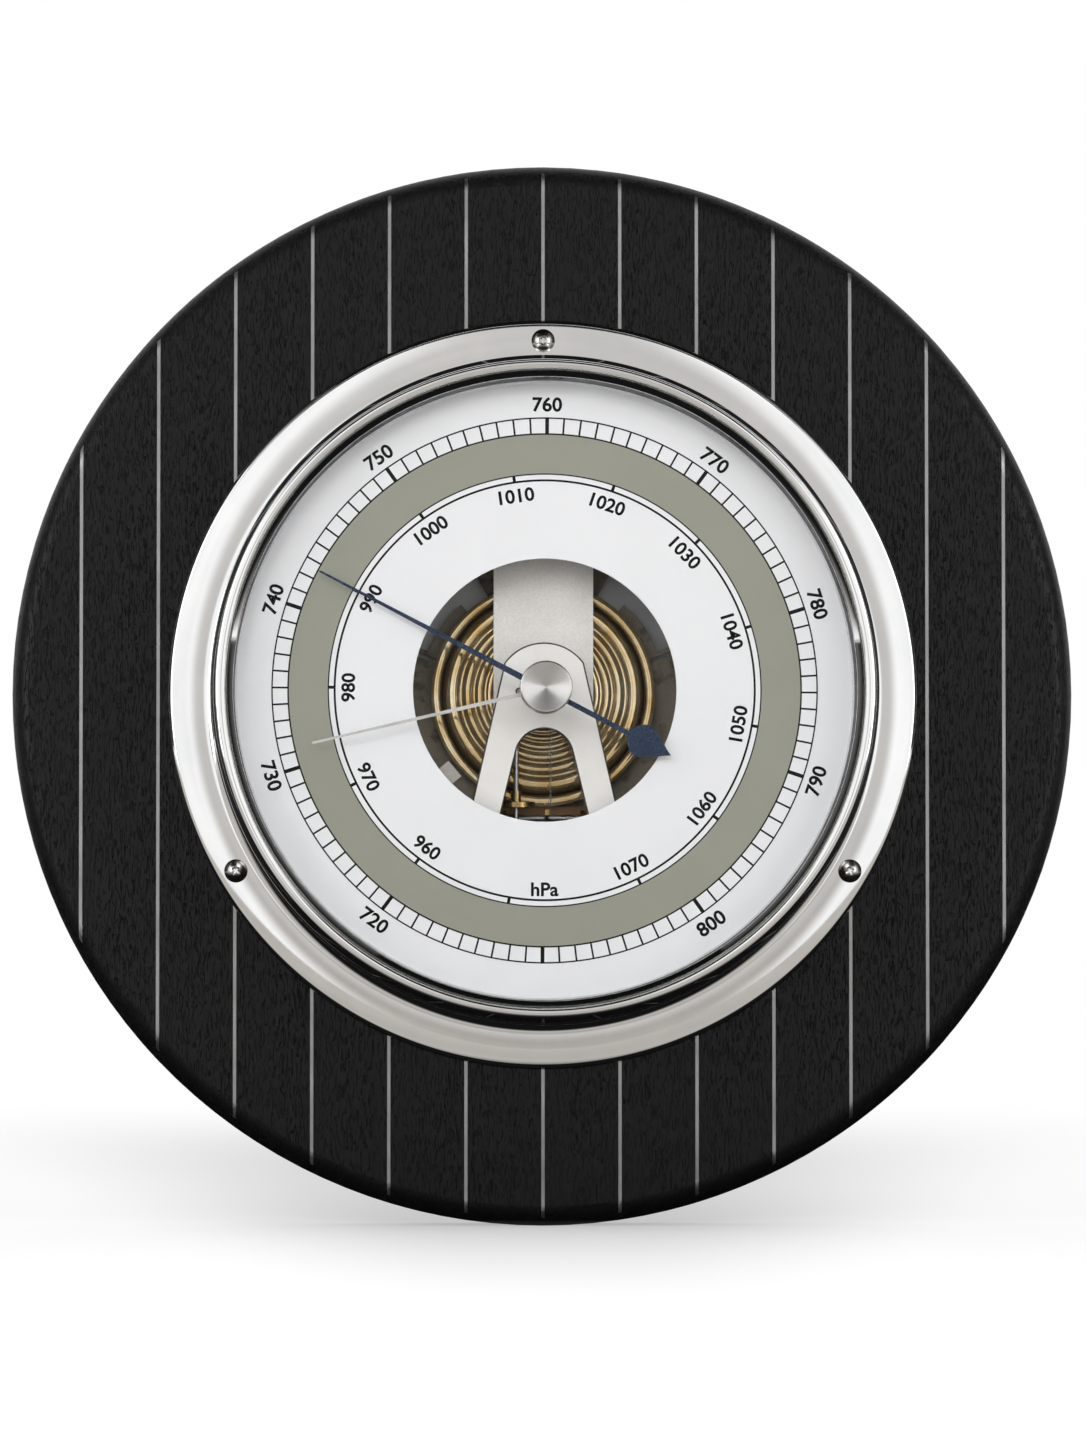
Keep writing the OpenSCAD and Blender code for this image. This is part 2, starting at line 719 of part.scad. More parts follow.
module pointer_arbor() color("#c3c4c5") upright() {
    disc(arbor_r, cock_z + cock_t + over, hand_z + 1.6);
    disc(pivot_r, cock_z, cock_z + cock_t + 2 * over);
}

module chain_drum() color("#b59a52") upright() {
    tube(drum_r, arbor_r + snug, chain_z - drum_h / 2, chain_z + drum_h / 2);
    tube(drum_r + 0.6, arbor_r + snug, chain_z + drum_h / 2, chain_z + drum_h / 2 + 0.3);
}

// Hands

module pointer_hub() color("#8f9397") upright() tube(hub_r, arbor_r + snug, hand_z - 1, hand_z + 1.4);

// Half width of the spade at a share s of its length: full shoulders and a long point
function spade_half(s) = spade_w / 2 * pow(sin(180 * pow(s, 0.62)), 1.15);

// Right side of the pointer, from behind its tip round the boss to the point of the spade
pointer_side = concat(
    [[0.2, pointer_l - 0.6]],
    arc([0, 0], boss_r, 76, -79),
    [[0.5, spade_y]],
    [for (i = [1:spade_steps - 1]) [spade_half(i / spade_steps), spade_y - i * spade_l / spade_steps]]
);

module pointer() color("#33405a") upright() rotate(-pointer_angle) difference() {
    translate([0, 0, hand_z]) linear_extrude(hand_t)
        polygon(concat([[0, pointer_l]], pointer_side, [[0, -tail_l]], mirrored(pointer_side)));
    disc(hub_r + snug, hand_z - over, hand_z + hand_t + over);
}

module set_hand() color("#dcdcd8") upright() rotate(-set_angle) difference() {
    translate([0, 0, set_hand_z]) linear_extrude(hand_t) {
        circle(2.4);
        polygon([[-0.42, 0], [0.42, 0], [0.22, set_hand_l], [-0.22, set_hand_l]]);
    }
    disc(spindle_r + snug, set_hand_z - over, set_hand_z + hand_t + over);
}

module set_hand_hub() color("#cfd0d1") upright()
    tube(2.4, spindle_r + snug, set_hand_z + hand_t, set_hub_top);

module friction_washer() color("#b9b18c") upright()
    tube(2.9, spindle_r + snug, set_hub_top, glass_z - 0.1);

module knob_spindle() color("#c3c4c5") upright() disc(spindle_r, set_hand_z - over, knob_z + spindle_top);

module knob() color("#d4d5d6") upright() difference() {
    rotate_extrude() polygon([
        [0, knob_z], [knob_d / 2 - knob_round, knob_z], [knob_d / 2, knob_z + knob_round],
        [knob_d / 2, knob_z + knob_h - knob_round], [knob_d / 2 - knob_round, knob_z + knob_h],
        [0, knob_z + knob_h - 0.25]
    ]);
    disc(spindle_r + snug, knob_z - over, knob_z + spindle_top);
}

module knob_washer() color("#e8e6dd") upright() tube(3.2, spindle_r + snug, glass_top + 0.1, knob_z);

module adjusting_screw() color("#b0a070") upright() translate([0, adjust_y, 0]) difference() {
    union() {
        disc(adjust_head_r, pan_top + air, pan_top + air + 2);
        disc(adjust_r, pan_top + air + 1, plate_top + 1.6);
    }
    bar(-adjust_head_r - 1, adjust_head_r + 1, -0.4, 0.4, pan_top, pan_top + air + 1);
}

board();
inlay_strips();
hanger_plate();
hanger_screws();
case_back();
case_shell();
flange_screws();
bezel_ring();
glass_gasket();
glass();
spacer_ring();
dial();
dial_sleeve();
base_plate();
base_posts();
base_screws();
limit_tab();
capsule_rear();
capsule_front();
capsule_stud();
capsule_nut();
capsule_post();
post_pin();
spring_bracket();
bracket_screws();
main_spring();
clamp_plate();
clamp_screws();
lever_block();
lever_rod();
balance_nut();
lever_link();
rocker_bracket();
rocker_rivets();
rocker_shaft();
chain_arm();
link_arm();
chain();
bridge();
bridge_pillars();
bridge_screws();
arbor_bush();
arbor_cock();
cock_pillars();
hairspring();
hairspring_stud();
hairspring_collet();
pointer_arbor();
chain_drum();
pointer_hub();
pointer();
set_hand();
set_hand_hub();
friction_washer();
knob_spindle();
knob();
knob_washer();
adjusting_screw();
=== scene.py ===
import json
import math

import bpy
from mathutils import Matrix, Vector


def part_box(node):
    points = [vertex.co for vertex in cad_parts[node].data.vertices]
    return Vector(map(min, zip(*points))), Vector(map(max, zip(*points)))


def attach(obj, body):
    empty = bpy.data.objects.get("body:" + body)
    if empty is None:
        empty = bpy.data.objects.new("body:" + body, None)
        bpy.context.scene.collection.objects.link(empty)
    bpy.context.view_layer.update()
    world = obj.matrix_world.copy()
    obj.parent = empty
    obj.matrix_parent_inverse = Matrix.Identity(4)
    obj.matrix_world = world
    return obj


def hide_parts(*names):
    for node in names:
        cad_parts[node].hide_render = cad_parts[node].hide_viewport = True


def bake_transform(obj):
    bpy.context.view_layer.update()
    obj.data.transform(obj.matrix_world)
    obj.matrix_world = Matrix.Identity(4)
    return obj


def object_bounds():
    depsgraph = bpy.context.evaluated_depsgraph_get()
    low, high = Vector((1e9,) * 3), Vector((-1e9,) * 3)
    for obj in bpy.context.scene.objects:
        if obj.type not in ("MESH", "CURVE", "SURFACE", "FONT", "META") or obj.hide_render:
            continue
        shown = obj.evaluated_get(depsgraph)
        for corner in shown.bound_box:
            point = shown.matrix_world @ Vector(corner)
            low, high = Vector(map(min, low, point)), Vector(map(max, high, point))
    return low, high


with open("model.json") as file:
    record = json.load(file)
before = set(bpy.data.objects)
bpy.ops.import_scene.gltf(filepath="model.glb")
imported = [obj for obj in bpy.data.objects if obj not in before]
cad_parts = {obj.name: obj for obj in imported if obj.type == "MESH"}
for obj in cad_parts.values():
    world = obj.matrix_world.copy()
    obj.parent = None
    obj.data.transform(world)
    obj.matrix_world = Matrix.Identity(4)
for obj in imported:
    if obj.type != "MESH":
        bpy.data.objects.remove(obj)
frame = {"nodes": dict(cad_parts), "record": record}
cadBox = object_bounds()
cadNodes = frame["nodes"]
mm = 0.001
weld = 0.002 * mm  # vertices nearer than this are one
smoothUnder = math.radians(30)  # edges flatter than this are shaded smooth
print("frame loaded:", len(cadNodes), "nodes")


# small helpers

def linear(hexColour):
    values = [int(hexColour[i:i + 2], 16) / 255 for i in (1, 3, 5)]
    return [v / 12.92 if v <= 0.04045 else ((v + 0.055) / 1.055) ** 2.4 for v in values] + [1]


def addNode(tree, kind, sockets=None, **settings):
    new = tree.nodes.new(kind)
    for name, value in settings.items():
        setattr(new, name, value)
    for name, value in (sockets or {}).items():
        if isinstance(value, bpy.types.Node):
            value = value.outputs[0]
        if isinstance(value, bpy.types.NodeSocket):
            tree.links.new(value, new.inputs[name])
        else:
            new.inputs[name].default_value = value
    return new


def addNoise(tree, vector, size, detail, roughness=0.5, distortion=0):
    return addNode(tree, "ShaderNodeTexNoise", {
        "Vector": vector, "Scale": 1 / size, "Detail": detail, "Roughness": roughness, "Distortion": distortion})


def addRange(tree, value, low, high, to=(0, 1), smooth=False):  # low to high becomes to[0] to to[1]
    return addNode(tree, "ShaderNodeMapRange", {
        "Value": value, "From Min": low, "From Max": high, "To Min": to[0], "To Max": to[1]},
        interpolation_type="SMOOTHSTEP" if smooth else "LINEAR")


def addMath(tree, operation, *values):
    return addNode(tree, "ShaderNodeMath", dict(enumerate(values)), operation=operation)


def addTone(tree, share, first, second):  # mixes two colours
    return addNode(tree, "ShaderNodeMix", {0: share, 6: first, 7: second}, data_type="RGBA").outputs[2]


def addBump(tree, height, strength, distance):
    return addNode(tree, "ShaderNodeBump", {"Height": height, "Strength": strength, "Distance": distance})


def newMaterial(name):
    material = bpy.data.materials.new(name)
    material.use_nodes = True
    tree = material.node_tree
    tree.nodes.clear()
    shader = addNode(tree, "ShaderNodeBsdfPrincipled")
    addNode(tree, "ShaderNodeOutputMaterial", {"Surface": shader})
    place = addNode(tree, "ShaderNodeTexCoord").outputs["Object"]
    return material, tree, shader, place


def giveLook(tree, shader, tone, polish, bump):
    tree.links.new(tone, shader.inputs["Base Color"])
    tree.links.new(polish.outputs[0], shader.inputs["Roughness"])
    tree.links.new(bump.outputs[0], shader.inputs["Normal"])


def showSurface(tree, surface):
    output = [n for n in tree.nodes if n.type == "OUTPUT_MATERIAL"][0]
    tree.links.new(surface.outputs[0], output.inputs["Surface"])


def onlyThis(obj):
    bpy.ops.object.select_all(action="DESELECT")
    obj.select_set(True)
    bpy.context.view_layer.objects.active = obj


def applyAll(obj):
    onlyThis(obj)
    for modifier in list(obj.modifiers):
        bpy.ops.object.modifier_apply(modifier=modifier.name)


def standUp(obj):  # from lying on its back, as drawn, to standing against the wall
    onlyThis(obj)
    bpy.ops.object.transform_apply(location=True, rotation=True, scale=True)
    obj.rotation_euler = (math.radians(90), 0, 0)
    bpy.ops.object.transform_apply(location=True, rotation=True, scale=True)


def arcPoints(centre, radius, start, end, steps):
    turns = [math.radians(start + (end - start) * i / steps) for i in range(steps + 1)]
    return [(centre[0] + radius * math.cos(t), centre[1] + radius * math.sin(t)) for t in turns]


def turned(name, outline, steps, sharp=35):
    # a vertex is drawn along the outline (radius, height) in mm, and the line is spun about the axis
    bpy.ops.object.select_all(action="DESELECT")
    bpy.ops.mesh.primitive_plane_add(size=mm, location=(0, 0, 0))
    obj = bpy.context.object
    obj.name = name
    bpy.ops.object.mode_set(mode="EDIT")
    bpy.ops.mesh.select_all(action="SELECT")
    bpy.ops.mesh.merge(type="CENTER")
    bpy.ops.transform.translate(value=(outline[0][0] * mm, 0, outline[0][1] * mm))
    for before, after in zip(outline, outline[1:]):
        step = ((after[0] - before[0]) * mm, 0, (after[1] - before[1]) * mm)
        bpy.ops.mesh.extrude_region_move(TRANSFORM_OT_translate={"value": step})
    bpy.ops.mesh.select_all(action="SELECT")
    bpy.ops.mesh.spin(steps=steps, angle=math.radians(360), center=(0, 0, 0), axis=(0, 0, 1))
    bpy.ops.mesh.select_all(action="SELECT")
    bpy.ops.mesh.remove_doubles(threshold=weld)
    bpy.ops.mesh.normals_make_consistent(inside=False)
    bpy.ops.object.mode_set(mode="OBJECT")
    standUp(obj)
    bpy.ops.object.shade_smooth_by_angle(angle=math.radians(sharp))
    return obj


def dress(obj, material, body, slot, *nodes):
    obj.data.materials.clear()
    obj.data.materials.append(material)
    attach(obj, body)
    if nodes:
        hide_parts(*nodes)


# metals: two tones, roughness from low to high, grain in mm with its stretch along x, y, z, bump in mm,
# ring is the spacing in mm of turning marks about the instrument's axis, around is how far they smear gloss
metalFinishes = {
    "brushed aluminium inlay": dict(  # long fine scratches along the strip, soft sheen
        tones=("#a2a3a2", "#c4c5c4"), rough=(0.3, 0.5), grain=0.16, stretch=(1, 1, 0.04), bump=0.006),
    "zinc plated steel": dict(  # cool, slightly cloudy
        tones=("#a9adb0", "#c2c5c4"), rough=(0.32, 0.48), grain=0.5, bump=0.004),
    "polished chrome on brass": dict(  # near mirror, hardly hazed
        tones=("#f2f3f3", "#f9f9f8"), rough=(0.03, 0.065), grain=1.4, bump=0.0004),
    "nickel plated screw steel": dict(  # bright, a little warm
        tones=("#b9b7b2", "#cfcdc8"), rough=(0.14, 0.24), grain=0.25, bump=0.002),
    "spun aluminium": dict(  # fine rings from the spinning lathe
        tones=("#dcdddf", "#ededee"), rough=(0.24, 0.38), grain=0.3, ring=0.12, bump=0.002),
    "phosphated steel plate": dict(  # dark and warm, matt, with brown patches
        tones=("#665f53", "#928979"), rough=(0.4, 0.6), grain=0.22, bump=0.006, metal=0.35, mottle=0.5,
        stain="#3b2c1d"),
    "ground movement steel": dict(  # fine grinding lines
        tones=("#a2a3a3", "#bbbbb9"), rough=(0.22, 0.4), grain=0.12, stretch=(1, 1, 0.1), bump=0.003),
    "tumbled spring steel": dict(  # pale and mottled, satin
        tones=("#dcd9d4", "#f4f2ee"), rough=(0.36, 0.52), grain=0.3, bump=0.012, metal=0.5, mottle=0.7),
    "lacquered brass": dict(  # dulled yellow, soft highlights
        tones=("#8f7647", "#b0976a"), rough=(0.2, 0.36), grain=0.3, bump=0.003),
    "drawn capsule bronze": dict(  # bright gold with fine rings of the drawing tool
        tones=("#cba35c", "#f8e9c6"), rough=(0.04, 0.08), grain=0.5, ring=0.35, bump=0.0003, metal=0.84),
    "capsule bronze with painted channel shade": dict(  # dark brown for the deep channel, painted shade
        tones=("#2c2013", "#46341f"), rough=(0.3, 0.45), grain=0.3, bump=0.003, metal=0.8),
    "cut edge painted with shade": dict(  # dark line along the cut edges, painted shade
        tones=("#3f3c39", "#5d5955"), rough=(0.35, 0.5), grain=0.2, bump=0.003, metal=0.7),
    "coppered steel": dict(  # brown, dull
        tones=("#6b4f38", "#8f7052"), rough=(0.3, 0.5), grain=0.4, bump=0.004),
    "bead blasted nickel silver": dict(  # even sparkle-free grey
        tones=("#e6e4e0", "#f5f3f0"), rough=(0.34, 0.46), grain=0.14, bump=0.009, metal=0.5, mottle=0.5),
    "blued steel": dict(  # blue-black oxide, semi-gloss
        tones=("#2c384d", "#34425a"), rough=(0.22, 0.32), grain=0.5, bump=0.001, metal=0.7),
    "face turned nickel": dict(  # light fans round the face
        tones=("#cfcecc", "#e6e5e3"), rough=(0.2, 0.26), grain=0.3, ring=0.09, bump=0.0004, around=0.88),
    "grey aluminium with painted dark reflection": dict(  # ring between dial and glass: its dark grey is a painted dark reflection
        tones=("#57585a", "#727375"), rough=(0.18, 0.28), grain=0.3, ring=0.12, bump=0.002, metal=0.85),
    "tinned link steel": dict(  # dull grey wire
        tones=("#77787a", "#97989a"), rough=(0.3, 0.5), grain=0.2, bump=0.003),
}
cloudSize = 7 * mm
noiseRange = (0.3, 0.7)  # a noise hardly leaves it
wornRange = (0.12, 0.42)  # the same for the product of two
lathe = {"unit": 0.314, "wavy": 0.6, "grainShare": 0.35}  # unit is the distance between rings at a scale of 1
stain = {"size": 4 * mm, "from": 0.52, "full": 0.68, "most": 0.8}
materials = {}
for name, finish in metalFinishes.items():
    material, tree, shader, place = newMaterial(name)
    placed = addNode(tree, "ShaderNodeMapping", {"Vector": place, "Scale": finish.get("stretch", (1, 1, 1))})
    grain = addNoise(tree, placed, finish["grain"] * mm, 3, 0.6)
    cloud = addNoise(tree, place, cloudSize, 4)
    relief = grain
    if "ring" in finish:
        rings = addNode(tree, "ShaderNodeTexWave", {
            "Vector": place, "Scale": lathe["unit"] / (finish["ring"] * mm), "Distortion": lathe["wavy"],
            "Detail": 2, "Detail Scale": 2}, wave_type="RINGS", rings_direction="Y")
        relief = addNode(tree, "ShaderNodeMix", {0: lathe["grainShare"], 2: rings.outputs[1], 3: grain})
    mottle = addNode(tree, "ShaderNodeMix", {0: finish.get("mottle", 0.15), 2: cloud, 3: grain})
    spread = addRange(tree, mottle, *noiseRange)
    tone = addTone(tree, spread, linear(finish["tones"][0]), linear(finish["tones"][1]))
    if "stain" in finish:
        patch = addNoise(tree, place, stain["size"], 5, 0.7)
        aged = addRange(tree, patch, stain["from"], stain["full"], (0, stain["most"]))
        tone = addTone(tree, aged, tone, linear(finish["stain"]))
    worn = addMath(tree, "MULTIPLY", cloud, grain)
    polish = addRange(tree, worn, *wornRange, finish["rough"])
    giveLook(tree, shader, tone, polish, addBump(tree, relief, 0.6, finish["bump"] * mm))
    shader.inputs["Metallic"].default_value = finish.get("metal", 1)
    if "around" in finish:
        shader.inputs["Anisotropic"].default_value = finish["around"]
        shader.inputs["Anisotropic Rotation"].default_value = 0.25  # a quarter turn: the marks run round the face
        radial = addNode(tree, "ShaderNodeTangent", direction_type="RADIAL", axis="Y")
        tree.links.new(radial.outputs[0], shader.inputs["Tangent"])
    materials[name] = material

# black stained oak under satin lacquer, sizes in mm: long open pores run up the board and stay darker and duller
wood = {"pore": 0.34, "poreLength": 2.2, "deep": 0.2, "closed": 0.36, "open": 0.47, "figure": 3.5,
        "figureLength": 60, "tones": ("#060607", "#0f0f10"), "rough": (0.4, 0.55), "gloss": 0.36, "lacquer": 1.48}


def upTheBoard(tree, place, width, length):
    scale = (1 / (width * mm), 1 / (width * mm), 1 / (length * mm))
    return addNode(tree, "ShaderNodeMapping", {"Vector": place, "Scale": scale})


material, tree, shader, place = newMaterial("black stained oak")
pores = addNoise(tree, upTheBoard(tree, place, wood["pore"], wood["poreLength"]), 1, 5, 0.6, 0.9)
cuts = addRange(tree, pores, wood["closed"], wood["open"])
figure = addNoise(tree, upTheBoard(tree, place, wood["figure"], wood["figureLength"]), 1, 4)
both = addMath(tree, "MULTIPLY", cuts, figure)
tone = addTone(tree, both, linear(wood["tones"][0]), linear(wood["tones"][1]))
gloss = addRange(tree, cuts, 0, 1, (wood["rough"][1], wood["rough"][0]))
giveLook(tree, shader, tone, gloss, addBump(tree, both, 1, wood["deep"] * mm))
shader.inputs["IOR"].default_value = wood["lacquer"]
shader.inputs["Specular IOR Level"].default_value = wood["gloss"]
materials["black stained oak"] = material

# plain finishes that aren't metal: two tones, roughness, speckle size in mm, bump in mm
plainFinishes = {
    "silk matt white lacquer": dict(  # dial: clean white, faint sheen
        tones=("#edeef0", "#f2f3f5"), rough=(0.42, 0.5), speck=0.25, bump=0.0015, ior=1.5),
    "black screen ink": dict(  # dense black, a little uneven at its edges
        tones=("#070808", "#101112"), rough=(0.4, 0.55), speck=0.2, bump=0.001, ior=1.22),
    "grey green screen ink": dict(  # the broad band
        tones=("#939486", "#999a8c"), rough=(0.42, 0.55), speck=0.2, bump=0.001, ior=1.5),
    "black rubber": dict(  # matt cord
        tones=("#121212", "#1e1e1d"), rough=(0.6, 0.8), speck=0.15, bump=0.006, ior=1.52),
    "white nylon": dict(  # turned washer, slightly yellow
        tones=("#dedcd4", "#e6e4dc"), rough=(0.4, 0.55), speck=0.3, bump=0.003, ior=1.53),
}
plainCloudSize = 12 * mm
for name, finish in plainFinishes.items():
    material, tree, shader, place = newMaterial(name)
    speck = addNoise(tree, place, finish["speck"] * mm, 4, 0.6)
    cloud = addNoise(tree, place, plainCloudSize, 3)
    tone = addTone(tree, cloud, linear(finish["tones"][0]), linear(finish["tones"][1]))
    polish = addRange(tree, speck, *noiseRange, finish["rough"])
    giveLook(tree, shader, tone, polish, addBump(tree, speck, 0.5, finish["bump"] * mm))
    shader.inputs["IOR"].default_value = finish["ior"]
    materials[name] = material

# float glass pane with a thin coating: clear, the faint haze of wiping only changes its gloss
pane = {"wipe": 18 * mm, "haze": 0.03, "tint": 0.22, "ior": 1.3}  # it mirrors less than plain glass
material, tree, shader, place = newMaterial("float glass pane")
polish = addRange(tree, addNoise(tree, place, pane["wipe"], 4), 0, 1, (0, pane["haze"]))
tree.links.new(polish.outputs[0], shader.inputs["Roughness"])
shader.inputs["Base Color"].default_value = (1, 1, 1, 1)
shader.inputs["Specular Tint"].default_value = (pane["tint"], pane["tint"], pane["tint"], 1)
shader.inputs["Transmission Weight"].default_value = 1
shader.inputs["IOR"].default_value = pane["ior"]
path = addNode(tree, "ShaderNodeLightPath")
clear = addNode(tree, "ShaderNodeBsdfTransparent", {"Color": (1, 1, 1, 1)})
showSurface(tree, addNode(tree, "ShaderNodeMixShader", {0: path.outputs["Is Shadow Ray"], 1: shader, 2: clear}))
materials["float glass pane"] = material

finishOfSlot = {
    "black_wood": "black stained oak", "inlay_metal": "brushed aluminium inlay", "zinc_steel": "zinc plated steel",
    "case_chrome": "polished chrome on brass", "screw_nickel": "nickel plated screw steel",
    "gasket_rubber": "black rubber", "clear_glass": "float glass pane", "bright_aluminium": "spun aluminium",
    "dial_white": "silk matt white lacquer", "dark_plate": "phosphated steel plate",
    "movement_steel": "ground movement steel", "spring_steel": "tumbled spring steel",
    "movement_brass": "lacquered brass", "capsule_bronze": "drawn capsule bronze",
    "coppered_plate": "coppered steel", "bridge_nickel": "bead blasted nickel silver",
    "blued_steel": "blued steel", "knob_chrome": "face turned nickel", "white_nylon": "white nylon",
}
for part in frame["record"]["subparts"]:
    node = cadNodes[part["node"]]
    node.data.materials.clear()
    node.data.materials.append(materials[finishOfSlot[part["material_slot"]]])
cadNodes["cock_pillars"].data.materials[0] = materials["bead blasted nickel silver"]  # flush with the bridge
cadNodes["limit_tab"].data.materials[0] = materials["nickel plated screw steel"]
print("materials:", len(materials))

# case: flange with a low crown, fillet and drum in one pressing; depths are counted from the wall
case = {"flangeRadius": 74, "drumRadius": 63.8, "sheet": 0.8, "flangeTop": 17.6, "boardTop": 16, "drumTop": 42.65,
        "fillet": 3, "edge": 1, "crown": 0.1, "filletSteps": 16, "crownSteps": 12, "edgeSteps": 8, "steps": 256}
inside = case["drumRadius"] - case["sheet"]
rimInside = case["flangeRadius"] - case["sheet"]
flatIn, flatOut = case["drumRadius"] + case["fillet"], case["flangeRadius"] - case["edge"]
flatEnd = case["flangeTop"] - case["crown"]  # the crown is lowest at both ends of the flat
crown = []
for i in range(1, case["crownSteps"]):
    share = i / case["crownSteps"]
    crown.append((flatIn + (flatOut - flatIn) * share, case["flangeTop"] - case["crown"] * (2 * share - 1) ** 2))
outline = [(inside, case["boardTop"] + case["sheet"]), (inside, case["drumTop"])]
outline += [(case["drumRadius"], case["drumTop"])]
outline += arcPoints((flatIn, flatEnd + case["fillet"]), case["fillet"], 180, 270, case["filletSteps"]) + crown
outline += arcPoints((flatOut, flatEnd - case["edge"]), case["edge"], 90, 0, case["edgeSteps"])
outline += [(case["flangeRadius"], case["boardTop"]), (rimInside, case["boardTop"])]
outline += [(rimInside, case["boardTop"] + case["sheet"]), outline[0]]
caseShell = turned("case_pressing", outline, case["steps"])
dress(caseShell, materials["polished chrome on brass"], "frame", "case_chrome", "case_shell")

# bezel: lip over the glass, slope up to the bead, skirt down the drum with a rolled edge;
# the two profiles and the bead give radius and height over the glass
bezel = {"glassTop": 45.55, "skirt": 9, "sheet": 0.6, "outer": 64.45, "rollSteps": 14, "steps": 256,
         "lip": ((60.2, 0), (60.2, 0.32), (60.26, 0.42), (60.4, 0.52), (61.2, 1.16), (61.62, 1.6), (61.76, 1.8)),
         "bead": (62.6, 2.1), "beadRound": 2.5, "beadFrom": 108, "beadTo": 71.5, "beadSteps": 14,
         "shoulder": ((63.47, 1.88), (63.55, 1.7), (64.4, -0.1), (64.45, -0.3))}
top = bezel["glassTop"]
outline = [(r, top + h) for r, h in bezel["lip"]]
beadCentre = (bezel["bead"][0], top + bezel["bead"][1] - bezel["beadRound"])
outline += arcPoints(beadCentre, bezel["beadRound"], bezel["beadFrom"], bezel["beadTo"], bezel["beadSteps"])
outline += [(r, top + h) for r, h in bezel["shoulder"]]
outline += arcPoints((bezel["outer"], top - bezel["skirt"]), bezel["sheet"], 90, -180, bezel["rollSteps"])
outline += [(bezel["outer"] - bezel["sheet"], top), outline[0]]
bezelRing = turned("bezel_turning", outline, bezel["steps"])
dress(bezelRing, materials["polished chrome on brass"], "frame", "case_chrome", "bezel_ring")

# ring between dial and glass: a cone coloured dark grey as a painted dark reflection, with a lighter chamfer where
# it meets the dial as a painted highlight
cone = {"profile": ((59.8, 36.05), (63, 36.05), (63, 42.65), (60.9, 42.65), (60.7, 42.4), (60.15, 37),
                    (59.8, 36.55), (59.8, 36.05)),
        "brightFrom": 36.1, "brightTo": 37.05, "brightInside": 60.16, "steps": 224}
spacer = turned("spacer_cone", cone["profile"], cone["steps"])
dress(spacer, materials["grey aluminium with painted dark reflection"], "frame", "bright_aluminium", "spacer_ring")
# the chamfer faces get the light spun aluminium: a painted highlight line along the dial's edge
spacer.data.materials.append(materials["spun aluminium"])
for face in spacer.data.polygons:
    height = -face.center.y / mm
    if cone["brightFrom"] < height < cone["brightTo"] and face.center.xz.length < cone["brightInside"] * mm:
        face.material_index = 1

# knob: turned face with a shallow dish, given as radius and fall, rounded rim, hollow behind for the spindle
knob = {"radius": 5.05, "back": 46.15, "height": 6.5, "round": 0.35, "roundSteps": 6, "bore": 1.51,
        "boreTop": 51.15, "dish": ((4.45, 0.03), (3, 0.27), (1.5, 0.51), (0.25, 0.7), (0, 0.72)), "steps": 128}
front = knob["back"] + knob["height"]
rim = knob["radius"] - knob["round"]
outline = [(knob["bore"], knob["boreTop"]), (knob["bore"], knob["back"]), (rim, knob["back"])]
outline += arcPoints((rim, knob["back"] + knob["round"]), knob["round"], -90, 0, knob["roundSteps"])
outline += arcPoints((rim, front - knob["round"]), knob["round"], 0, 90, knob["roundSteps"])
outline += [(r, front - fall) for r, fall in knob["dish"]]
outline += [(0, knob["boreTop"]), (knob["bore"], knob["boreTop"])]
knobTurning = turned("knob_turning", outline, knob["steps"], sharp=30)
dress(knobTurning, materials["face turned nickel"], "set_hand_group", "knob_chrome", "knob")

# capsule front: beaded rim and steep channel, given as radius and height over the middle, then broad crests
# and narrow troughs that grow finer towards the centre; between the radii listed as tarnished the channel is
# coloured dark brown, a painted shade
capsule = {"middle": 15, "rim": 21.9, "face": 2.65, "skin": 0.22, "steps": 160,
           "bead": ((22.12, 0), (22.15, 0.16), (21.95, 0.27), (21.5, 0.34), (21, 0.36), (20.6, 0.3), (20.35, 0.14)),
           "channel": ((20.15, 0.03), (19.95, 0.1), (19.7, 0.5), (19.4, 1.2), (19.15, 1.9), (18.95, 2.3),
                       (18.7, 2.52), (18.3, 2.62), (17.75, 2.65)),
           "tarnished": (19.12, 20.3), "outerWave": 17.75, "waves": 8, "waveSteps": 12, "closer": 0.175,
           "depth": 0.19, "flat": 4, "hole": 1.6}
surface = [*capsule["bead"], *capsule["channel"]]
for i in range(1, capsule["waves"] * capsule["waveSteps"] + 1):
    wave = i / capsule["waveSteps"]
    radius = capsule["outerWave"] * math.exp(-capsule["closer"] * wave)
    dip = capsule["depth"] * capsule["closer"] * radius
    surface.append((radius, capsule["face"] - dip * abs(math.sin(math.radians(180 * wave))) ** 3))
surface += [(capsule["flat"], capsule["face"]), (capsule["hole"], capsule["face"])]
outline = [(r, capsule["middle"] + h) for r, h in surface]
outline += [(r, capsule["middle"] + h - capsule["skin"]) for r, h in reversed(surface[2:])]
outline += [(capsule["rim"], capsule["middle"]), outline[0]]
diaphragm = turned("front_diaphragm", outline, capsule["steps"], sharp=50)
dress(diaphragm, materials["drawn capsule bronze"], "frame", "capsule_bronze", "capsule_front")
# the faces of the deep channel are coloured dark brown: painted shade in the recess
diaphragm.data.materials.append(materials["capsule bronze with painted channel shade"])
for face in diaphragm.data.polygons:
    if capsule["tarnished"][0] * mm < face.center.xz.length < capsule["tarnished"][1] * mm:
        face.material_index = 1
print("turned pieces done")


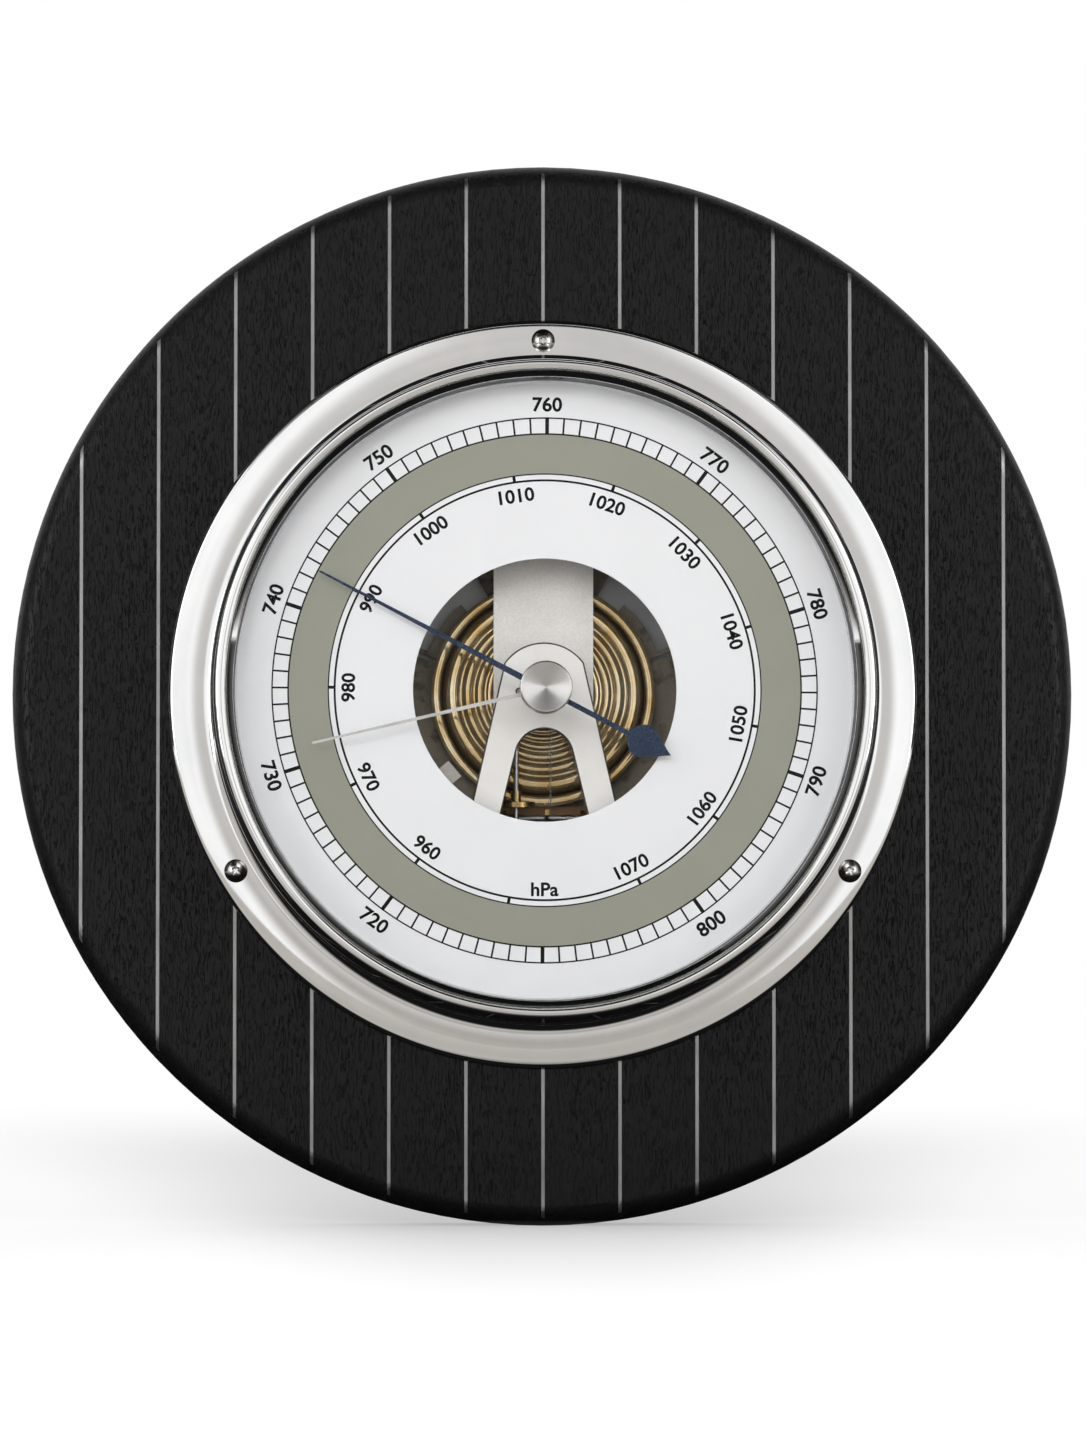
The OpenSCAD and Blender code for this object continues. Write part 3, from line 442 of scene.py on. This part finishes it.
# flange screws: raised head with a cross recess whose arms taper towards the bottom; turns are degrees by place
screw = {"radius": 69.9, "shank": 1.5, "head": 2.3, "neck": 0.8, "sunk": 0.02, "seat": 17.6, "rise": 0.95,
         "foot": 5, "arm": 0.62, "reach": 2.9, "deep": 1.0, "taperLong": 0.35, "taperWide": 0.5,
         "domeSteps": 10, "steps": 64, "turns": {90: 14, 210: 38, 330: 62}}
crest = screw["seat"] + screw["rise"]
ball = (screw["head"] ** 2 + screw["rise"] ** 2) / (2 * screw["rise"])
side = math.degrees(math.asin(screw["head"] / ball))
outline = [(0, screw["foot"]), (screw["shank"], screw["foot"]), (screw["shank"], screw["seat"] - screw["neck"])]
outline += [(screw["head"], screw["seat"] - screw["sunk"])]
outline += arcPoints((0, crest - ball), ball, 90 - side, 90, screw["domeSteps"])
head = turned("flange_screw", outline + [(0, screw["foot"])], screw["steps"])
tapers = {0: (screw["taperLong"], 1, screw["taperWide"]), 90: (screw["taperWide"], 1, screw["taperLong"])}
for turn, taper in tapers.items():
    bpy.ops.mesh.primitive_cube_add(size=mm, location=(0, -crest * mm, 0), rotation=(0, math.radians(turn), 0))
    arm = bpy.context.object
    arm.scale = (screw["reach"], 2 * screw["deep"], screw["arm"])
    bpy.ops.object.transform_apply(location=True, rotation=True, scale=True)
    bpy.ops.object.mode_set(mode="EDIT")
    bpy.ops.mesh.select_all(action="DESELECT")
    bpy.ops.object.mode_set(mode="OBJECT")
    for face in arm.data.polygons:
        face.select = face.normal.y > 0.9  # the bottom of the recess
    bpy.ops.object.mode_set(mode="EDIT")
    bpy.ops.mesh.select_mode(type="FACE")
    bpy.ops.transform.resize(value=taper, center_override=(0, 0, 0))
    bpy.ops.mesh.select_mode(type="VERT")
    bpy.ops.object.mode_set(mode="OBJECT")
    onlyThis(head)
    cut = head.modifiers.new("cross recess", "BOOLEAN")
    cut.operation, cut.solver, cut.object = "DIFFERENCE", "EXACT", arm
    bpy.ops.object.modifier_apply(modifier=cut.name)
    bpy.data.objects.remove(arm)
onlyThis(head)
bpy.ops.object.shade_smooth_by_angle(angle=smoothUnder)
for spot, turn in screw["turns"].items():
    copy = head.copy()
    copy.data = head.data.copy()
    copy.name = "flange_screw_" + str(spot)
    bpy.context.scene.collection.objects.link(copy)
    away = screw["radius"] * mm
    shift = (away * math.cos(math.radians(spot)), 0, away * math.sin(math.radians(spot)))
    copy.data.transform(Matrix.Rotation(math.radians(turn), 4, "Y"))
    copy.data.transform(Matrix.Translation(shift))
    dress(copy, materials["nickel plated screw steel"], "frame", "screw_nickel", "flange_screws")
bpy.data.objects.remove(head)

# main spring: the flat leaf, cut across in steps between its clamp and the post that it holds
leaf = {"root": 28, "held": 2.5, "tip": -3.4, "step": 1.5}
mesh = cadNodes["main_spring"].data.copy()
spring = bpy.data.objects.new("leaf_spring", mesh)
bpy.context.scene.collection.objects.link(spring)
onlyThis(spring)
bpy.ops.object.mode_set(mode="EDIT")
bpy.ops.mesh.select_all(action="SELECT")
bpy.ops.mesh.remove_doubles(threshold=weld)
height = leaf["root"]
while height > leaf["tip"]:
    bpy.ops.mesh.select_all(action="SELECT")
    bpy.ops.mesh.bisect(plane_co=(0, 0, height * mm), plane_no=(0, 0, 1))
    height -= leaf["step"]
bpy.ops.object.mode_set(mode="OBJECT")
bpy.ops.object.shade_smooth_by_angle(angle=smoothUnder)
spring.data.materials.clear()
spring.data.materials.append(materials["tumbled spring steel"])
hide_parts("main_spring")
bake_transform(spring)

# chain: oval wire links, each turned a quarter against the next
chainLow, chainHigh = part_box("chain")
links = {"pitch": 0.5, "long": 0.36, "wide": 0.2, "wire": 0.055, "ring": 0.14, "first": 0.55}
count = int((chainHigh.z - chainLow.z) / mm / links["pitch"])
middle = (chainLow + chainHigh) / 2
linkPieces = []
for i in range(count):
    bpy.ops.object.select_all(action="DESELECT")
    bpy.ops.mesh.primitive_torus_add(
        major_radius=links["ring"] * mm, minor_radius=links["wire"] * mm, major_segments=14, minor_segments=6,
        rotation=(math.radians(90), 0, math.radians(90 * (i % 2))))
    link = bpy.context.object
    link.location = (middle.x, middle.y, chainHigh.z - (i + links["first"]) * links["pitch"] * mm)
    bpy.ops.object.transform_apply(location=False, rotation=True, scale=False)
    link.scale = (1, 1, links["long"] / links["wide"])
    bpy.ops.object.transform_apply(location=True, rotation=True, scale=True)
    linkPieces.append(link)
bpy.ops.object.select_all(action="DESELECT")
for link in linkPieces:
    link.select_set(True)
bpy.context.view_layer.objects.active = linkPieces[0]
bpy.ops.object.join()
chain = bpy.context.object
chain.name = "chain_links"
bpy.ops.object.shade_smooth()
chain.data.materials.append(materials["tinned link steel"])
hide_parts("chain")
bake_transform(chain)
print("screws, leaf spring and chain done")

# bridge: its cut edges are broken all round, only the rivet holes stay sharp; the front bevels are coloured dark, a
# painted shade line round its outline
cutEdge = {"width": 0.3, "segments": 3, "sharp": 50, "rivetGap": 0.1, "flattest": 0.98, "steepest": 0.15}
mesh = cadNodes["bridge"].data.copy()
bridge = bpy.data.objects.new("bridge_plate", mesh)
bpy.context.scene.collection.objects.link(bridge)
onlyThis(bridge)
bpy.ops.object.mode_set(mode="EDIT")
bpy.ops.mesh.select_all(action="SELECT")
bpy.ops.mesh.remove_doubles(threshold=weld)
bpy.ops.mesh.dissolve_limited(angle_limit=math.radians(0.5))  # makes one face of each flat side
bpy.ops.mesh.select_all(action="DESELECT")
bpy.ops.mesh.select_mode(type="EDGE")
bpy.ops.mesh.edges_select_sharp(sharpness=math.radians(cutEdge["sharp"]))
bpy.ops.object.mode_set(mode="OBJECT")
bpy.context.tool_settings.mesh_select_mode = (True, False, False)
rivets = [corner.co for corner in cadNodes["cock_pillars"].data.vertices]
broken = mesh.attributes.new("bevel_weight_edge", "FLOAT", "EDGE")
for line in mesh.edges:
    start = mesh.vertices[line.vertices[0]].co
    gap = min(math.hypot(start.x - corner.x, start.z - corner.z) for corner in rivets)
    broken.data[line.index].value = 1.0 if line.select and gap >= cutEdge["rivetGap"] * mm else 0.0
edge = bridge.modifiers.new("broken edge", "BEVEL")
edge.width, edge.segments, edge.limit_method = cutEdge["width"] * mm, cutEdge["segments"], "WEIGHT"
edge.use_clamp_overlap, edge.harden_normals = False, True
applyAll(bridge)
dress(bridge, materials["bead blasted nickel silver"], "frame", "bridge_nickel", "bridge")
# the front bevels get a dark finish: painted shade that outlines the bridge
bridge.data.materials.append(materials["cut edge painted with shade"])
for face in bridge.data.polygons:
    if cutEdge["steepest"] < -face.normal.y < cutEdge["flattest"]:
        face.material_index = 1

# dial print: thin ink just in front of the white plate; radii in mm, turns in degrees clockwise from the top
dial = {"face": 36.06, "ink": 0.03, "turn": 0.5, "ringSteps": 256, "band": (42.15, 49.68),
        "rings": ((40.6, 41.0), (41.9, 42.15), (49.68, 49.98), (52.8, 53.08))}
hgScale = {"perUnit": 3.6, "top": 760, "marks": 100, "tick": (49.8, 53.0, 0.36), "longTick": (49.8, 53.1, 0.74),
           "figures": range(720, 801, 10), "radius": 55.6, "height": 2.9}
hpaScale = {"perUnit": 2.7002, "top": 1013.25, "marks": range(950, 1071, 10), "tick": (40.9, 42.05, 0.6),
            "figures": range(960, 1071, 10), "radius": 38.15, "height": 2.75}
unitWord = {"radius": 38.7, "turn": 180, "height": 2.7}
lettering = {"size": 4, "curve": 4, "fatter": 0.1, "wider": 1.04}


def inkRing(inner, outer):
    bpy.ops.object.select_all(action="DESELECT")
    bpy.ops.mesh.primitive_circle_add(
        vertices=dial["ringSteps"], radius=inner * mm, location=(0, 0, dial["face"] * mm))
    bpy.ops.object.mode_set(mode="EDIT")
    bpy.ops.mesh.select_all(action="SELECT")
    bpy.ops.mesh.extrude_edges_move()
    bpy.ops.transform.resize(value=(outer / inner, outer / inner, 1), center_override=(0, 0, dial["face"] * mm))
    bpy.ops.object.mode_set(mode="OBJECT")
    return bpy.context.object


def inkTick(inner, outer, width, angle):
    bpy.ops.object.select_all(action="DESELECT")
    bpy.ops.mesh.primitive_plane_add(size=mm, location=(0, (inner + outer) / 2 * mm, dial["face"] * mm))
    tick = bpy.context.object
    tick.scale = (width, outer - inner, 1)
    bpy.ops.object.transform_apply(location=True, scale=True)
    tick.data.transform(Matrix.Rotation(math.radians(-angle), 4, "Z"))
    return tick


def inkWord(word, radius, angle, height):
    bpy.ops.object.select_all(action="DESELECT")
    bpy.ops.object.text_add(location=(0, 0, 0))
    label = bpy.context.object
    label.data.body = word
    label.data.align_x, label.data.align_y = "CENTER", "CENTER"
    label.data.size, label.data.resolution_u = lettering["size"] * mm, lettering["curve"]
    label.data.offset = lettering["fatter"] * mm
    bpy.ops.object.convert(target="MESH")
    label = bpy.context.object
    low = min(v.co.y for v in label.data.vertices)
    high = max(v.co.y for v in label.data.vertices)
    left = min(v.co.x for v in label.data.vertices)
    right = max(v.co.x for v in label.data.vertices)
    grow = height * mm / (high - low)
    label.data.transform(Matrix.Translation((-(left + right) / 2, -(low + high) / 2, 0)))
    label.data.transform(Matrix.Diagonal((grow * lettering["wider"], grow, 1, 1)))
    if abs(angle) > 90:  # the lower labels are turned so that they read from below
        label.data.transform(Matrix.Rotation(math.pi, 4, "Z"))
    label.data.transform(Matrix.Translation((0, radius * mm, dial["face"] * mm)))
    label.data.transform(Matrix.Rotation(math.radians(-angle), 4, "Z"))
    return label


def joinInk(name, objects, materialName):
    bpy.ops.object.select_all(action="DESELECT")
    for obj in objects:
        obj.select_set(True)
    bpy.context.view_layer.objects.active = objects[0]
    bpy.ops.object.join()
    ink = bpy.context.object
    ink.name = name
    bpy.ops.object.mode_set(mode="EDIT")
    bpy.ops.mesh.select_all(action="SELECT")
    bpy.ops.mesh.remove_doubles(threshold=weld / 2)
    bpy.ops.mesh.normals_make_consistent(inside=False)
    bpy.ops.object.mode_set(mode="OBJECT")
    if ink.data.polygons[0].normal.z < 0:
        ink.data.flip_normals()
    solid = ink.modifiers.new("ink thickness", "SOLIDIFY")
    solid.thickness, solid.offset = dial["ink"] * mm, 1
    applyAll(ink)
    standUp(ink)
    dress(ink, materials[materialName], "frame", "dial_white")
    return ink


def turnOf(scale, value):
    return dial["turn"] + (value - scale["top"]) * scale["perUnit"]


inkPieces = [inkRing(inner, outer) for inner, outer in dial["rings"]]
for step in range(hgScale["marks"]):
    tick = hgScale["longTick"] if step % 10 == 0 else hgScale["tick"]
    inkPieces.append(inkTick(*tick, dial["turn"] + hgScale["perUnit"] * step))
for pressure in hpaScale["marks"]:
    inkPieces.append(inkTick(*hpaScale["tick"], turnOf(hpaScale, pressure)))
for scale in (hgScale, hpaScale):
    for pressure in scale["figures"]:
        inkPieces.append(inkWord(str(pressure), scale["radius"], turnOf(scale, pressure), scale["height"]))
inkPieces.append(inkWord("hPa", unitWord["radius"], unitWord["turn"], unitWord["height"]))
joinInk("dial_figures", inkPieces, "black screen ink")
joinInk("dial_band", [inkRing(*dial["band"])], "grey green screen ink")
print("dial printed")

# studio: pale floor that fades to white and carries a painted shadow round the board's foot, white surroundings,
# soft lamps and cards that the chrome mirrors
studio = {"floorSize": 30, "fibre": 2.5 * mm, "gain": 1.75, "fadeFrom": 0.25, "fadeTo": 0.9, "spill": 0.45}
# painted shadow round the board's foot: its darkness, its share against the lamp-lit paper, its half width and
# widening towards the back in metres, and where it fades out across, in front and behind
paintedFootShadow = {"dark": 0.42, "share": 0.7, "halfWidth": 0.078, "widening": 0.16, "edge": (0.2, 1.15),
             "front": (-0.3, 0.05), "back": (0.35, 1)}
floorZ = cadBox[0].z


def seenDirectly(tree, path):
    return addMath(tree, "MAXIMUM", path.outputs["Is Camera Ray"], path.outputs["Is Transmission Ray"])


bpy.ops.object.select_all(action="DESELECT")
bpy.ops.mesh.primitive_plane_add(size=studio["floorSize"], location=(0, 0, floorZ))
floor = bpy.context.object
floor.name = "studio_floor"
material, tree, shader, place = newMaterial("pale paper sweep")
fibre = addNoise(tree, place, studio["fibre"], 3)
tree.links.new(addTone(tree, fibre, linear("#f1f1f1"), linear("#f5f5f5")), shader.inputs["Base Color"])
shader.inputs["Roughness"].default_value = 0.9
shader.inputs["Specular IOR Level"].default_value = 0.1
paperTones = [(gain, gain, gain, 1) for gain in (studio["gain"], studio["gain"] * 1.01)]
lit = addNode(tree, "ShaderNodeBsdfDiffuse", {"Color": addTone(tree, fibre, *paperTones)})
# most of the shadow is a painted shadow: the paper's emission is darker round the board's foot and wider towards
# the back; the rest is the lamps' real shading
spot = addNode(tree, "ShaderNodeSeparateXYZ", {0: place})
width = addMath(tree, "MULTIPLY_ADD", spot.outputs["Y"], paintedFootShadow["widening"], paintedFootShadow["halfWidth"])
sideways = addMath(tree, "DIVIDE", addMath(tree, "ABSOLUTE", spot.outputs["X"]), width)
across = addRange(tree, sideways, *paintedFootShadow["edge"], (paintedFootShadow["dark"], 0), smooth=True)
inFront = addRange(tree, spot.outputs["Y"], *paintedFootShadow["front"], smooth=True)
behind = addRange(tree, spot.outputs["Y"], *paintedFootShadow["back"], (1, 0), smooth=True)
shade = addMath(tree, "MULTIPLY", addMath(tree, "MULTIPLY", across, inFront), behind)
left = addMath(tree, "SUBTRACT", 1, shade)
paper = addNode(tree, "ShaderNodeEmission", {"Color": (1, 1, 1, 1), "Strength": left})
lit = addNode(tree, "ShaderNodeMixShader", {0: paintedFootShadow["share"], 1: lit, 2: paper})
apart = addNode(tree, "ShaderNodeVectorMath", {0: place}, operation="LENGTH")
faded = addRange(tree, apart.outputs["Value"], studio["fadeFrom"], studio["fadeTo"], smooth=True)
white = addNode(tree, "ShaderNodeEmission", {"Color": (1, 1, 1, 1), "Strength": 1})
swept = addNode(tree, "ShaderNodeMixShader", {0: faded, 1: lit, 2: white})
seen = seenDirectly(tree, addNode(tree, "ShaderNodeLightPath"))
showSurface(tree, addNode(tree, "ShaderNodeMixShader", {0: seen, 1: shader, 2: swept}))
floor.data.materials.append(material)

world = bpy.data.worlds.new("white surroundings")
bpy.context.scene.world = world
world.use_nodes = True
tree = world.node_tree
tree.nodes.clear()
path = addNode(tree, "ShaderNodeLightPath")
mirrored = addMath(tree, "MAXIMUM", seenDirectly(tree, path), path.outputs["Is Glossy Ray"])
strength = addRange(tree, mirrored, 0, 1, (studio["spill"], 1))
sky = addNode(tree, "ShaderNodeBackground", {"Color": (1, 1, 1, 1), "Strength": strength})
addNode(tree, "ShaderNodeOutputWorld", {"Surface": sky})

# lamps: place, aim and size in metres, power in watts; a hidden one lights the part but isn't mirrored in it
lamps = {
    "key": dict(place=(-0.1, -1.5, 0.35), aim=(0, 0, 0), size=(0.6, 0.4), power=5.2, hidden=True),
    "side": dict(place=(-1.1, -0.7, 0.4), aim=(0, 0, 0), size=(0.5, 0.8), power=0.5, hidden=False),
    "strip_left": dict(place=(-0.75, -1.15, 0.1), aim=(0, 0, 0), size=(0.025, 0.8), power=0.45, hidden=False),
    "strip_right": dict(place=(0.75, -1.15, 0.1), aim=(0, 0, 0), size=(0.025, 0.8), power=0.45, hidden=False),
    "overhead": dict(place=(0, -0.7, 1.1), aim=(0, 0, -0.1), size=(0.7, 0.6), power=1.0, hidden=True),
}
for name, one in lamps.items():
    bpy.ops.object.select_all(action="DESELECT")
    bpy.ops.object.light_add(type="AREA", location=one["place"])
    light = bpy.context.object
    light.name = name
    light.data.shape, light.data.size, light.data.size_y = "RECTANGLE", *one["size"]
    light.data.energy = one["power"]
    light.rotation_euler = (Vector(one["aim"]) - Vector(one["place"])).to_track_quat("-Z", "Y").to_euler()
    light.visible_glossy = not one["hidden"]

# cards: tones that only reflections see, each fading from its first to its second tone along an axis;
# sides gives the middle and where the card turns white, outside ones don't shine through the glass
cards = {
    "card_front": dict(place=(0.03, -1.45, 0.1), size=(1.2, 1.0), turn=(90, 0, 0), tones=("#b4b0ab", "#cfccca"),
                       along=("Z", -0.03, 0.07), sides=(0.03, 0.05, 0.18)),
    "card_table": dict(place=(0, -1.45, floorZ + 0.001), size=(1.8, 3.7), turn=(0, 0, 0),
                       tones=("#bdb9b4", "#141414"), along=("Y", -0.27, -0.11), sides=(0, 0.5, 0.9)),
    "card_above": dict(place=(0, -0.75, 0.85), size=(2, 1.2), turn=(0, 0, 0), tones=("#3c3c3c", "#101010"),
                       along=("Y", -1.3, -0.6)),
    "card_high": dict(place=(0, -1.3, 0.55), size=(1.0, 0.34), turn=(90, 0, 0), tones=("#303030", "#202020"),
                      along=("Z", 0.4, 0.6), outside=True),
    "card_left": dict(place=(-0.78, -1.0, 0.05), size=(0.3, 0.8), turn=(90, 0, -55), tones=("#ffffff", "#f0f0f0"),
                      along=("Z", -0.3, 0.4), gain=4),
    "card_right": dict(place=(0.78, -1.0, 0.05), size=(0.3, 0.8), turn=(90, 0, 55), tones=("#ffffff", "#f0f0f0"),
                       along=("Z", -0.3, 0.4), gain=4),
    "card_round": dict(place=(0, -0.25, 0), size=(2, 2), turn=(90, 0, 0), tones=("#6c6b6a", "#0d0d0d"),
                       along=("Y", -0.5, -0.15), tube=0.7, outside=True),
}
unevenCard = {"size": 0.2, "low": 0.92, "high": 1.06}  # how much a card's light drifts across it
for name, one in cards.items():
    bpy.ops.object.select_all(action="DESELECT")
    turn = [math.radians(t) for t in one["turn"]]
    if "tube" in one:
        bpy.ops.mesh.primitive_cylinder_add(vertices=96, radius=0.5, depth=one["tube"], end_fill_type="NOTHING",
                                            location=one["place"], rotation=turn)
    else:
        bpy.ops.mesh.primitive_plane_add(size=1, location=one["place"], rotation=turn)
    card = bpy.context.object
    card.name = name
    card.scale = (*one["size"], 1)
    bpy.ops.object.transform_apply(location=True, rotation=True, scale=True)
    material, tree, shader, place = newMaterial(name + " paint")
    tree.nodes.remove(shader)
    apart = addNode(tree, "ShaderNodeSeparateXYZ", {0: place})
    axis, start, end = one["along"]
    share = addRange(tree, apart.outputs[axis], start, end, smooth=True)
    tone = addTone(tree, share, linear(one["tones"][0]), linear(one["tones"][1]))
    if "sides" in one:
        middleX, whiteFrom, whiteTo = one["sides"]
        off = addMath(tree, "ABSOLUTE", addMath(tree, "SUBTRACT", apart.outputs["X"], middleX))
        tone = addTone(tree, addRange(tree, off, whiteFrom, whiteTo, smooth=True), tone, (1, 1, 1, 1))
    gain = one.get("gain", 1)
    drift = addNoise(tree, place, unevenCard["size"], 2)
    power = addRange(tree, drift, *noiseRange, (unevenCard["low"] * gain, unevenCard["high"] * gain))
    showSurface(tree, addNode(tree, "ShaderNodeEmission", {"Color": tone, "Strength": power}))
    card.data.materials.append(material)
    for ray in ("camera", "diffuse", "shadow", "volume_scatter"):
        setattr(card, "visible_" + ray, False)
    card.visible_transmission = "outside" not in one
print("studio set")

# camera: the photograph looks slightly up and from a little to the left, from 1.2 m
view = {"from": (-0.02, -1.2, -0.046), "aim": (0, -0.016, -0.0059), "sensor": 36, "lens": 149.07}
bpy.ops.object.select_all(action="DESELECT")
bpy.ops.object.camera_add(location=view["from"])
camera = bpy.context.object
camera.rotation_euler = (Vector(view["aim"]) - camera.location).to_track_quat("-Z", "Y").to_euler()
camera.data.sensor_fit = "VERTICAL"
camera.data.sensor_height = view["sensor"]
camera.data.lens = view["lens"]
bpy.context.scene.camera = camera
bpy.context.scene.view_settings.view_transform = "Standard"
